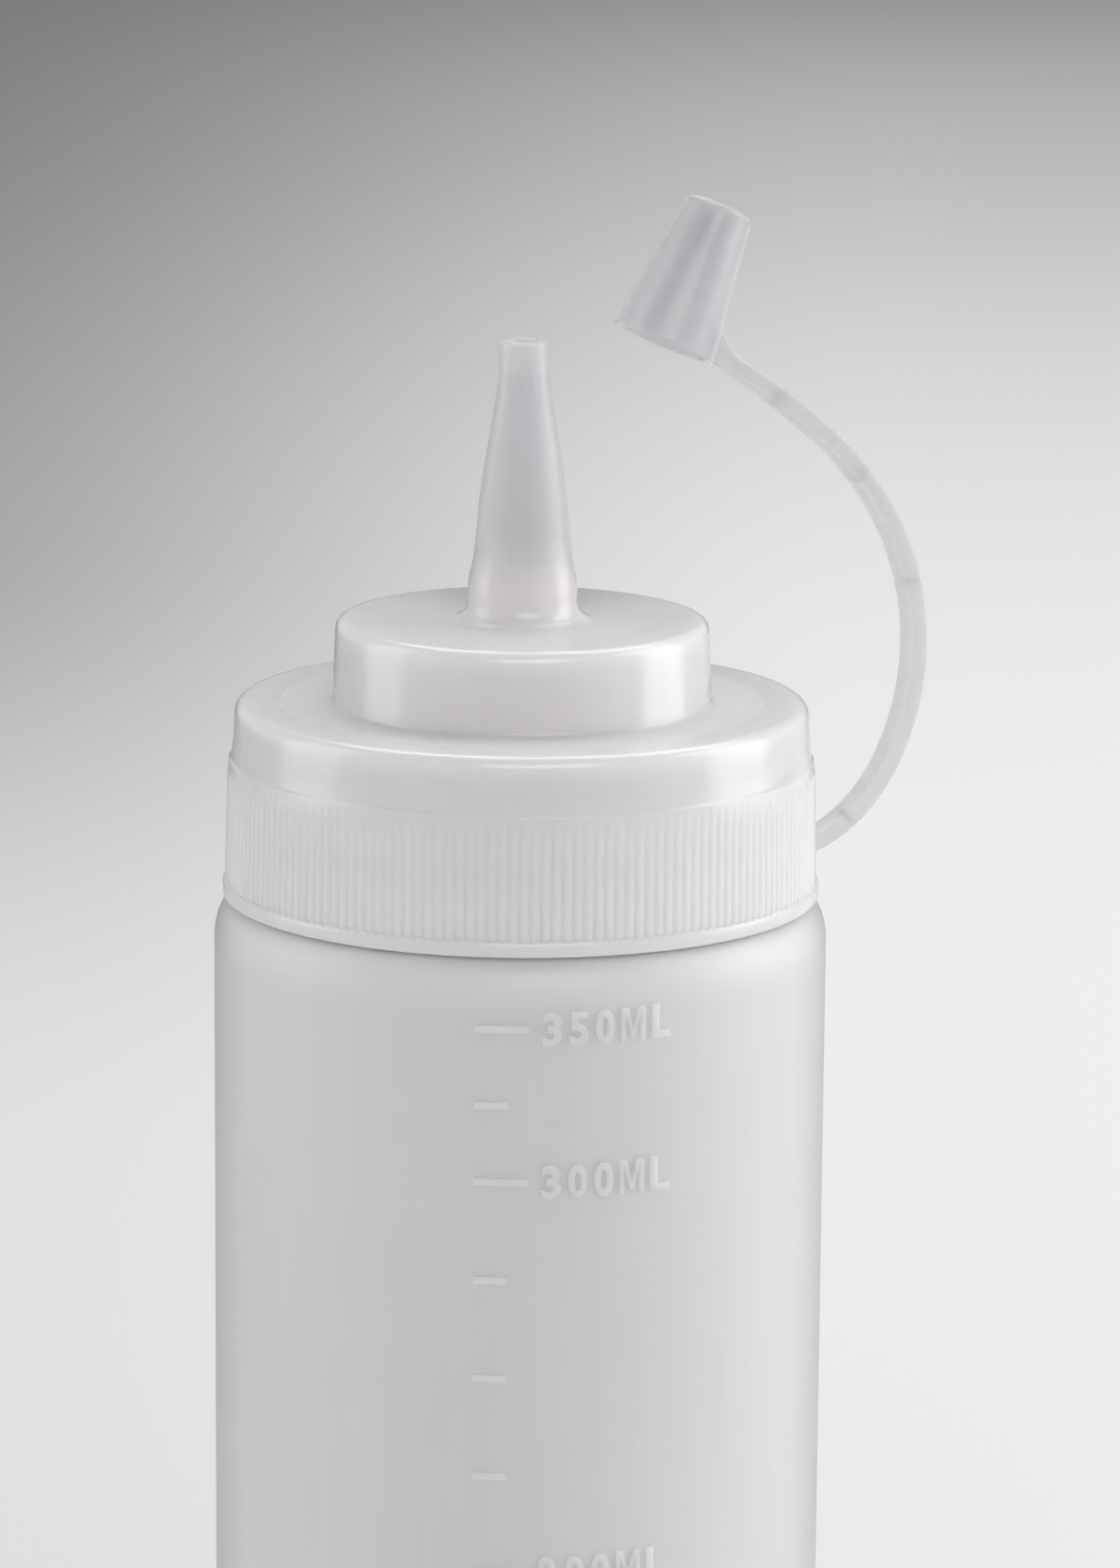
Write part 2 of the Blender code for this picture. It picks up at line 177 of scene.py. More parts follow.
class LidSizes(bpy.types.PropertyGroup):
    """Sizes of the ribbed lid, its turret and its nozzle"""

    skirt_gap: length("Skirt gap", "From the neck out to the skirt's bore", 1.6 * MM)
    bead_wall: length("Bead wall", "Thickness of the bead under the ribs", 2.3 * MM)
    skirt_wall: length("Skirt wall", "Thickness of the ribbed skirt at the ribs' roots", 1.75 * MM)
    bead_height: length("Bead height", "Height of the smooth bead under the ribs", 1.4 * MM)
    rib_count: IntProperty(name="Ribs", description="Number of grip ribs", default=176, min=12)
    rib_depth: length("Rib depth", "How far the ribs stand out at the bottom", 0.27 * MM)
    rib_draft: length("Rib draft", "How much less the ribs stand out at the top", 0.16 * MM)
    rib_top: length("Rib top", "Height of the ribs' top above the lid's bottom edge", 12.75 * MM)
    deck_top: length("Deck top", "Height of the deck above the lid's bottom edge", 18.9 * MM)
    deck_wall: length("Deck wall", "Thickness of the deck", 1.5 * MM)
    deck_corner: length("Deck corner", "Rounding of the deck's edge", 1.15 * MM)
    turret_radius: length("Turret radius", "Radius of the round step at its foot", 18.3 * MM)
    turret_height: length("Turret height", "Height of the round step", 8.1 * MM)
    turret_wall: length("Turret wall", "Thickness of the turret", 1.4 * MM)
    turret_corner: length("Turret corner", "Rounding of the turret's edge", 1.1 * MM)
    nozzle_base: length("Nozzle base", "Radius of the nozzle's foot", 5.35 * MM)
    nozzle_tip: length("Nozzle tip", "Radius of the nozzle's tip", 2.27 * MM)
    nozzle_fillet: length("Nozzle fillet", "Rounding between the nozzle and the turret", 1.7 * MM)
    nozzle_wall: length("Nozzle wall", "Thickness of the nozzle's wall", 0.95 * MM)
    tip_bore: length("Tip bore", "Radius of the hole in the tip", 1.45 * MM)
    tip_land: length("Tip land", "Length of the hole in the tip before the nozzle widens", 3.0 * MM)


class TetherSizes(bpy.types.PropertyGroup):
    """Sizes of the strap between the lid and the tip cap"""

    thickness: length("Thickness", "Strap thickness in the plane it bends in", 1.8 * MM)
    width: length("Width", "Strap width across the plane it bends in", 2.5 * MM)
    corner: length("Corner", "Rounding of the strap's long edges", 0.22 * MM)
    root_depth: length("Root depth", "How deep the strap is rooted in the lid's bead", 0.9 * MM)
    cap_stub: length("Cap stub", "From the last bend to the cap's wall", 3.6 * MM)
    cap_stub_turn: angle("Cap stub turn", "Bend of that last stretch", 6.2)
    bend_reach: length("Bend reach", "How far each bend spreads along the strap", 5.4 * MM)
    flare: length("Flare", "How far the strap's outer side climbs the cap's wall", 1.7 * MM)


class CapSizes(bpy.types.PropertyGroup):
    """Sizes of the tip cap"""

    cap_length: length("Length", "Length of the cap", 14.44 * MM)
    mouth_radius: length("Mouth radius", "Outer radius at the cap's mouth", 5.2 * MM)
    top_radius: length("Top radius", "Outer radius at the cap's closed end", 3.35 * MM)
    wall: length("Wall", "Thickness of the cap's wall", 0.75 * MM)
    top_thickness: length("Top thickness", "Thickness of the closed end", 1.0 * MM)
    top_edge: length("Top edge", "Rounding of the closed end", 0.8 * MM)
    pin_radius: length("Pin radius", "Radius of the pin that plugs the nozzle", 1.0 * MM)
    pin_length: length("Pin length", "Length of that pin", 4.0 * MM)
    rim_drop: length("Rim drop", "How far the mouth lies under the strap", 0.2 * MM)


class Finishes(bpy.types.PropertyGroup):
    """Colours and surface of the plastics and the floor"""

    body: colour("Body", "Frosted plastic of the body", (0.842, 0.822, 0.846))
    lid: colour("Lid", "Milky plastic of the lid", (0.965, 0.919, 0.909))
    thin: colour("Thin parts", "The same plastic in the strap and the tip cap", (0.62, 0.62, 0.645))
    rim: colour("Rim sheen", "Sheen along the rims of the clear walls", (0.62, 0.62, 0.63))
    body_rim: colour("Body rim", "Sheen along the body's edges", (0.50, 0.50, 0.51))
    thin_rim: colour("Thin parts' rim", "Sheen along the edges of the nozzle, the strap and the tip cap",
                     (0.82, 0.82, 0.83))
    solid_tip: colour("Solid tip", "The same plastic at the nozzle's tip, where no hollow shows", (0.66, 0.66, 0.68))
    seal: colour("Seal", "Foamed plastic of the sealing ring", (0.80, 0.80, 0.80))
    body_clarity: share("Body clarity", "How much light passes straight through the body", 0.12)
    lid_clarity: share("Lid clarity", "How much light passes straight through the lid", 0.22)
    thin_clarity: share("Thin clarity", "How much light passes straight through the thin parts", 0.62)
    body_roughness: share("Body roughness", "Roughness of the frosted wall", 0.42)
    lid_roughness: share("Lid roughness", "Roughness of the lid", 0.17)
    floor_light: colour("Floor", "Floor round the bottle", (0.77, 0.77, 0.77))
    # The next colour is a painted pool of light on the floor, the one after it painted shade; the two lengths after
    # them place that painted shade.
    floor_painted_light: colour("Bright floor", "Floor behind and to the right, where the light falls", (0.94, 0.94, 0.94))
    floor_painted_shade: colour("Far floor", "Floor behind and to the left", (0.426, 0.437, 0.431))
    floor_near: length("Near floor's end", "How far behind the bottle the left floor starts to darken", 0.42)
    floor_far: length("Far floor's start", "How far behind the bottle the left floor is darkest", 0.97)


class StageSizes(bpy.types.PropertyGroup):
    """Camera and lights"""

    target: FloatVectorProperty(name="Target", description="Point in the middle of the picture", size=3,
                                default=(3.75 * MM, 0.0, 150.3 * MM), subtype="XYZ", unit="LENGTH", precision=5)
    distance: length("Camera distance", "From the camera to the target", 768.3 * MM)
    elevation: angle("Camera elevation", "Camera's height above the horizon", 11.9)
    roll: angle("Camera roll", "Turn of the picture about the line of sight", 0.45)
    lens: FloatProperty(name="Lens", description="Focal length for a 36 mm sensor, in mm", default=182.14)
    key_power: FloatProperty(name="Key light", description="Power of the lamp at the right, in W", default=13.0)
    fill_power: FloatProperty(name="Fill light", description="Power of the lamp at the left, in W", default=6.8)
    top_power: FloatProperty(name="Top light", description="Power of the lamp above and behind, in W", default=10.5)
    front_power: FloatProperty(name="Front light", description="Power of the lamp at the front, in W", default=9.5)
    air: FloatProperty(name="Room light", description="Strength of the light from overhead", default=0.24)
    band: FloatProperty(name="Wall light", description="Strength of the light from the pale walls all round",
                        default=0.58)
    floor_reach: length("Floor reach", "Half the floor's side", 6.0)


class Flow:
    """A shader socket with arithmetic: each operator adds a Math node."""

    def __init__(self, finish, socket):
        self.finish = finish
        self.socket = socket

    def math(self, operation, first, second):
        return self.finish.add("ShaderNodeMath", {"operation": operation}, {0: first, 1: second})

    def __add__(self, other):
        return self.math("ADD", self, other)

    __radd__ = __add__

    def __sub__(self, other):
        return self.math("SUBTRACT", self, other)

    def __rsub__(self, other):
        return self.math("SUBTRACT", other, self)

    def __mul__(self, other):
        return self.math("MULTIPLY", self, other)

    __rmul__ = __mul__

    def __truediv__(self, other):
        return self.math("DIVIDE", self, other)


class Finish:
    """A material under construction."""

    def __init__(self, name):
        self.material = bpy.data.materials.new(name)
        self.material.use_nodes = True
        self.tree = self.material.node_tree
        self.tree.nodes.clear()

    def add(self, kind, settings=None, sockets=None, output=0):
        node = self.tree.nodes.new(kind)
        for key, value in (settings or {}).items():
            setattr(node, key, value)
        for key, value in (sockets or {}).items():
            if isinstance(value, Flow):
                self.tree.links.new(value.socket, node.inputs[key])
            else:
                node.inputs[key].default_value = value
        return Flow(self, node.outputs[output])

    def place(self, stretch=(1.0, 1.0, 1.0)):
        """Object coordinates, stretched."""
        coordinates = self.add("ShaderNodeTexCoord", output="Object")
        return self.add("ShaderNodeMapping", sockets={"Vector": coordinates, "Scale": stretch})

    def noise(self, scale, detail=2.0, stretch=(1.0, 1.0, 1.0)):
        return self.add("ShaderNodeTexNoise", sockets={"Vector": self.place(stretch), "Scale": scale,
                                                       "Detail": detail, "Roughness": 0.55})

    def smooth(self, value, low, high):
        """0 under low, 1 over high, and a soft step between."""
        return self.add("ShaderNodeMapRange", {"interpolation_type": "SMOOTHSTEP"},
                        {"Value": value, "From Min": low, "From Max": high})

    def blend(self, factor, first, second):
        """A colour mix; the node has its factor at 0 and its colours at 6 and 7."""
        return self.add("ShaderNodeMix", {"data_type": "RGBA"}, {0: factor, 6: first, 7: second}, 2)

    def radius(self):
        """Distance from the bottle's axis."""
        across = self.add("ShaderNodeVectorMath", {"operation": "MULTIPLY"},
                          {0: self.place(), 1: (1.0, 1.0, 0.0)})
        return self.add("ShaderNodeVectorMath", {"operation": "LENGTH"}, {0: across}, "Value")

    def height(self):
        return self.add("ShaderNodeSeparateXYZ", sockets={0: self.place()}, output="Z")

    def finish(self, shader):
        end = self.tree.nodes.new("ShaderNodeOutputMaterial")
        self.tree.links.new(shader.socket, end.inputs["Surface"])
        return self.material


class SqueezeBottle(bpy.types.PropertyGroup):
    """Everything that a user would change"""

    bottle: PointerProperty(type=BottleSizes)
    marks: PointerProperty(type=MarkSizes)
    lid: PointerProperty(type=LidSizes)
    tether: PointerProperty(type=TetherSizes)
    cap: PointerProperty(type=CapSizes)
    finishes: PointerProperty(type=Finishes)
    stage: PointerProperty(type=StageSizes)


def sizes():
    return bpy.context.scene.squeeze_bottle


def neck_radius():
    return BOTTLE_HIGH.x - sizes().bottle.shoulder_step


def skirt_bore():
    return neck_radius() + sizes().lid.skirt_gap


def bead_radius():
    return skirt_bore() + sizes().lid.bead_wall


def opaque(tint, shade=1.0):
    return (tint[0] * shade, tint[1] * shade, tint[2] * shade, 1.0)


def thin_walls(build):
    """1 where the lid's moulding is thin and clear, at the upper nozzle, the upper strap and the cap."""
    return build.smooth(build.height(), LID_HIGH.z - THIN_STARTS, LID_HIGH.z - THIN_FULL)


def solid_tip(build):
    """1 at the nozzle's tip, above the hollow."""
    land = LID_HIGH.z - sizes().lid.tip_land
    above = build.smooth(build.height(), land - 0.15 * MM, land + 0.1 * MM)
    return above * (1.0 - build.smooth(build.radius(), 3.0 * MM, 3.5 * MM))


def sanded_deck(build):
    """1 on the inner part of the deck, whose mould was left rougher."""
    deck = LID_LOW.z + sizes().lid.deck_top
    above = build.smooth(build.height(), deck - 0.1 * MM, deck - 0.05 * MM)
    below = 1.0 - build.smooth(build.height(), deck + 0.1 * MM, deck + 0.3 * MM)
    inside = 1.0 - build.smooth(build.radius(), SANDED_REACH - 0.15 * MM, SANDED_REACH + 0.15 * MM)
    return above * inside * below


def moulded(name, tint, thin_tint, rim_tint, rim_start, rough, depth, clarity, thin_clarity, grain_size, grain_height,
            pale=None):
    """Milky moulded plastic: light sinks in, flow clouds and streaks vary it, and a fine grain breaks the gloss.

    It is clearer where the walls are thin. A sheen follows the rims, as in a clear wall that is seen along its
    length. The pale argument makes a mask of the places that are painted paler, as painted light.
    """
    finishes = sizes().finishes
    build = Finish(name)
    cloud = build.noise(38.0, 3.0, (1.0, 1.0, 0.4))
    streak = build.noise(420.0, 2.0, (1.0, 1.0, 0.08))
    grain = build.noise(1.0 / grain_size, 3.0)
    tone = build.smooth(cloud * 0.6 + streak * 0.4, 0.38, 0.62)
    thin, sanded = thin_walls(build), sanded_deck(build)
    normal = build.add("ShaderNodeBump", sockets={"Strength": 0.5, "Distance": grain_height,
                                                  "Height": grain * (sanded * 2.0 + 1.0)})
    roughness = (grain - 0.5) * 0.1 + rough + tone * 0.03 + sanded * 0.16
    clear_tint = build.blend(solid_tip(build), opaque(thin_tint), opaque(finishes.solid_tip))
    thick_tint = build.blend(tone, opaque(tint, 0.972), opaque(tint))
    # Painted light: where the mask says, the tint is painted paler, at the raised marks and below the lid's skirt.
    if pale:
        thick_tint = build.blend(pale(build), thick_tint, opaque(tint, 1.16))
    shader = build.add("ShaderNodeBsdfPrincipled", {"subsurface_method": "RANDOM_WALK"}, {
        "Base Color": build.blend(thin, thick_tint, clear_tint),
        "Roughness": roughness,
        "IOR": 1.51,
        "Specular IOR Level": 0.8,
        "Subsurface Weight": 1.0,
        "Subsurface Radius": (1.0, 1.0, 1.0),
        "Subsurface Scale": depth,
        "Alpha": thin * (clarity - thin_clarity) + (1.0 - clarity),
        "Normal": normal,
    })
    facing = build.add("ShaderNodeLayerWeight", sockets={"Blend": 0.5}, output="Facing")
    sheen = build.add("ShaderNodeBsdfPrincipled", sockets={
        "Base Color": build.blend(thin, opaque(rim_tint), opaque(finishes.thin_rim)),
        "Metallic": 1.0, "Roughness": roughness + thin * 0.22})
    rim = build.smooth(facing, rim_start, 1.02) * (1.0 - thin) * 0.9 + build.smooth(facing, 0.45, 1.0) * thin * 0.5
    return build.finish(build.add("ShaderNodeMixShader", sockets={0: rim, 1: shader, 2: sheen}))


def wall_line():
    """The wall's radius at the foot's plane and how much it grows with height."""
    bottle = sizes().bottle
    side = BOTTLE_HIGH.x - bottle.relief
    top = BOTTLE_HIGH.z - bottle.neck_height - bottle.shoulder_height
    slope = bottle.foot_taper / (top - bottle.heel)
    return side - slope * top, slope


def painted_light_on_marks_and_shoulder(build):
    """Painted light: paler at the raised marks and towards the shoulder, which lifts the shade that falls under the
    lid's skirt.
    """
    shoulder = BOTTLE_HIGH.z - sizes().bottle.neck_height
    foot_wall, wall_slope = wall_line()
    proud = build.radius() - build.height() * wall_slope
    return build.smooth(proud, foot_wall + 0.04 * MM, foot_wall + 0.2 * MM) * 0.45 + build.smooth(
        build.height(), shoulder - 6.5 * MM, shoulder) * 0.85


def body_finish():
    name = "frosted_wall"
    finishes = sizes().finishes
    return bpy.data.materials.get(name) or moulded(
        name, finishes.body, finishes.body, finishes.body_rim, rim_start=0.52, rough=finishes.body_roughness,
        depth=3.0 * MM, clarity=finishes.body_clarity, thin_clarity=finishes.body_clarity, grain_size=0.22 * MM,
        grain_height=0.02 * MM, pale=painted_light_on_marks_and_shoulder)


def milky(name, tint, depth, clarity):
    """The lid moulding's plastic, whose thin walls are all of one tint and clarity."""
    finishes = sizes().finishes
    return bpy.data.materials.get(name) or moulded(
        name, tint, finishes.thin, finishes.rim, rim_start=0.72, rough=finishes.lid_roughness, depth=depth,
        clarity=clarity, thin_clarity=finishes.thin_clarity, grain_size=0.30 * MM, grain_height=0.012 * MM)


def lid_finish():
    return milky("milky_moulding", sizes().finishes.lid, 2.5 * MM, sizes().finishes.lid_clarity)


def thin_finish():
    return milky("thin_moulding", sizes().finishes.thin, 1.2 * MM, sizes().finishes.thin_clarity)


def seal_finish():
    """Foamed sheet: small cells in an off-white ring."""
    build = Finish("foamed_ring")
    cells = build.add("ShaderNodeTexVoronoi", {"feature": "F1"}, {"Vector": build.place(), "Scale": 2600.0})
    tint = sizes().finishes.seal
    normal = build.add("ShaderNodeBump", sockets={"Strength": 0.6, "Distance": 0.05 * MM, "Height": cells})
    shader = build.add("ShaderNodeBsdfPrincipled", sockets={
        "Base Color": build.blend(build.smooth(cells, 0.1, 0.6), opaque(tint, 0.9), opaque(tint)),
        "Roughness": cells * 0.2 + 0.65, "Normal": normal})
    return build.finish(shader)


def floor_finish():
    """Matt paper sweep with a fan of light from the right painted into its colour: paler there, with painted shade at
    the left and far behind.
    """
    build = Finish("paper_floor")
    finishes = sizes().finishes
    across = build.add("ShaderNodeSeparateXYZ", sockets={0: build.place()}, output="X")
    away = build.add("ShaderNodeSeparateXYZ", sockets={0: build.place()}, output="Y")
    # Painted shade: the left floor darkens further behind; the right floor is painted bright near the bottle and dark
    # far behind.
    far_left = build.blend(build.smooth(away, *LEFT_PALES), opaque(finishes.floor_painted_shade),
                           opaque(finishes.floor_painted_shade, 1.12))
    left = build.blend(build.smooth(away, finishes.floor_near, finishes.floor_far),
                       opaque(finishes.floor_light, 0.93), far_left)
    near_right = build.blend(build.smooth(away, *RIGHT_PALES), opaque(finishes.floor_light),
                             opaque(finishes.floor_painted_light))
    right = build.blend(build.smooth(away, *RIGHT_DARKENS), near_right, opaque(finishes.floor_painted_shade, 0.93))
    reach = build.add("ShaderNodeMath", {"operation": "MAXIMUM"}, {0: away + FAN_START, 1: 0.3})
    fibre = build.noise(900.0, 3.0)
    shader = build.add("ShaderNodeBsdfPrincipled", sockets={
        "Base Color": build.blend(build.smooth(across / reach, *FAN_EDGE), left, right),
        "Roughness": fibre * 0.1 + 0.85, "Specular IOR Level": 0.1})
    return build.finish(shader)


def arc(centre, radii, start, end, steps=6):
    """Points on an ellipse's arc round centre, both ends included."""
    turns = [start + (end - start) * step / steps for step in range(steps + 1)]
    return [(centre[0] + radii[0] * math.cos(turn), centre[1] + radii[1] * math.sin(turn)) for turn in turns]


def rounded(corners, steps=5):
    """An outline from (radius, height, fillet) corners; a corner with a fillet becomes an arc."""
    points = []
    for index, (radius, height, fillet) in enumerate(corners):
        here = Vector((radius, height))
        if not fillet:
            points.append(here)
            continue
        back = (Vector(corners[index - 1][:2]) - here).normalized()
        onward = (Vector(corners[(index + 1) % len(corners)][:2]) - here).normalized()
        half = back.angle(onward) / 2
        centre = here + (back + onward).normalized() * fillet / math.sin(half)
        first = here + back * fillet / math.tan(half) - centre
        last = here + onward * fillet / math.tan(half) - centre
        swing = math.atan2(first.x * last.y - first.y * last.x, first.dot(last))
        points += [centre + Matrix.Rotation(swing * step / steps, 2) @ first for step in range(steps + 1)]
    return points


def eased(stops, steps):
    """A smooth curve through (share, value) stops, as evenly spaced (share, value) points."""
    slopes = []
    for index in range(len(stops)):
        before = stops[max(index - 1, 0)]
        after = stops[min(index + 1, len(stops) - 1)]
        slopes.append((after[1] - before[1]) / (after[0] - before[0]))
    points = []
    for step in range(steps + 1):
        at = step / steps
        index = min(sum(at >= stop[0] for stop in stops) - 1, len(stops) - 2)
        (low, low_value), (high, high_value) = stops[index], stops[index + 1]
        gap = high - low
        t = (at - low) / gap
        value = ((2 * t ** 3 - 3 * t ** 2 + 1) * low_value + (t ** 3 - 2 * t ** 2 + t) * gap * slopes[index]
                 + (3 * t ** 2 - 2 * t ** 3) * high_value + (t ** 3 - t ** 2) * gap * slopes[index + 1])
        points.append((at, value))
    return points


def turned(points, steps, closed=False):
    """A bmesh turned about Z from (radius, height) points; an open outline has both ends on the axis."""
    form = bmesh.new()
    ring = [form.verts.new((point[0], 0.0, point[1])) for point in points]
    edges = [form.edges.new(pair) for pair in zip(ring, ring[1:])]
    if closed:
        edges.append(form.edges.new((ring[-1], ring[0])))
    bmesh.ops.spin(form, geom=ring + edges, cent=(0, 0, 0), axis=(0, 0, 1), angle=2 * math.pi, steps=steps,
                   use_merge=True, use_duplicate=False)
    bmesh.ops.remove_doubles(form, verts=form.verts, dist=WELD)
    bmesh.ops.recalc_face_normals(form, faces=form.faces)
    return form


def add_piece(name, form, finish, sharp_degrees=32.0):
    """A finished piece: its object sits at the origin and its place is in its mesh."""
    mesh = bpy.data.meshes.new(name)
    form.to_mesh(mesh)
    form.free()
    piece = bpy.data.objects.new(name, mesh)
    bpy.context.scene.collection.objects.link(piece)
    mesh.materials.append(finish)
    mesh.shade_smooth()
    mesh.set_sharp_from_angle(angle=math.radians(sharp_degrees))
    return piece


def thread(radius, foot, turns, outward):
    """A thread ridge that stands out of a wall of this radius, faded out at both ends."""
    bottle = sizes().bottle
    embed = 0.15 * MM
    half = bottle.thread_width / 2
    crest_half = half * 0.4
    crest = radius + outward * bottle.thread_depth
    root = radius - outward * embed
    form = bmesh.new()
    section = [(root, -half), (crest, -crest_half), (crest, crest_half), (root, half)]
    loop = [form.verts.new((r, 0.0, foot + z)) for r, z in section]
    edges = [form.edges.new((loop[k - 1], loop[k])) for k in range(len(loop))]
    steps = round(96 * turns)
    made = bmesh.ops.spin(form, geom=loop + edges, cent=(0, 0, 0), axis=(0, 0, 1), angle=2 * math.pi * turns,
                          steps=steps, dvec=(0, 0, bottle.thread_lead * turns / steps))
    last = [item for item in made["geom_last"] if isinstance(item, bmesh.types.BMEdge)]
    form.faces.new(loop)
    bmesh.ops.contextual_create(form, geom=last)
    for vert in form.verts:
        out = Vector((vert.co.x, vert.co.y, 0.0))
        height = abs(out.length - root)
        along = (vert.co.z - foot) / bottle.thread_lead
        fade = min(1.0, max(0.1, 8 * along), max(0.1, 8 * (turns - along)))
        vert.co -= out.normalized() * outward * height * (1.0 - fade)
    bmesh.ops.recalc_face_normals(form, faces=form.faces)
    return form


class BOTTLE_OT_body(bpy.types.Operator):
    """Blow-moulded body with its foot, shoulder and threaded neck"""

    bl_idname = "squeeze_bottle.body"
    bl_label = "Body"

    def execute(self, context):
        bottle = sizes().bottle
        side = BOTTLE_HIGH.x - bottle.relief
        foot_side = side - bottle.foot_taper
        top = BOTTLE_HIGH.z
        body_top = top - bottle.neck_height
        neck = neck_radius()
        neck_bore = neck - bottle.neck_wall
        wall = bottle.wall
        heel = (foot_side - bottle.heel, bottle.heel)
        ring = heel[0] - bottle.foot_ring
        dome = ring - 1.5 * bottle.foot_ring
        shoulder = (side - bottle.shoulder_inset, body_top - bottle.shoulder_height)
        outline = [(0.0, bottle.push_up), (dome * 0.5, bottle.push_up), (dome, bottle.push_up),
                   (dome + (ring - dome) * 0.5, bottle.push_up * 0.6), (ring, 0.0)]
        outline += arc(heel, (bottle.heel, bottle.heel), -QUARTER, 0.0, 10)
        outline += [(foot_side + bottle.foot_taper * k / 12, bottle.heel + (shoulder[1] - bottle.heel) * k / 12)
                    for k in range(1, 12)]
        outline += arc(shoulder, (bottle.shoulder_inset, bottle.shoulder_height), 0.0, QUARTER, 12)
        outline += rounded([(shoulder[0], body_top, 0.0), (neck, body_top, 0.5 * MM), (neck, top, 0.45 * MM),
                            (neck_bore, top, 0.3 * MM), (neck_bore, body_top - wall, 0.6 * MM),
                            (shoulder[0], body_top - wall, 0.0)])[1:]
        outline += arc(shoulder, (bottle.shoulder_inset - wall, bottle.shoulder_height - wall), QUARTER, 0.0, 8)[1:]
        outline += arc(heel, (bottle.heel - wall, bottle.heel - wall), 0.0, -QUARTER, 8)
        outline += [(ring, wall), (dome, bottle.push_up + wall), (0.0, bottle.push_up + wall)]
        body = add_piece("bottle_body", turned(outline, 240), body_finish())
        ridge = add_piece("neck_thread", thread(neck, body_top + THREAD_FOOT, 2.4, 1.0), body_finish())
        for piece in (body, ridge):
            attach(piece, "bottle")
        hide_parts("bottle")
        return {"FINISHED"}


def wrap_on_body(form, reach):
    """Bends flat work round the body: x is the arc along the wall, y is height and z stands out of it."""
    for vert in form.verts:
        turn = vert.co.x / reach
        out = reach + vert.co.z
        vert.co = Vector((out * math.sin(turn), -out * math.cos(turn), vert.co.y))


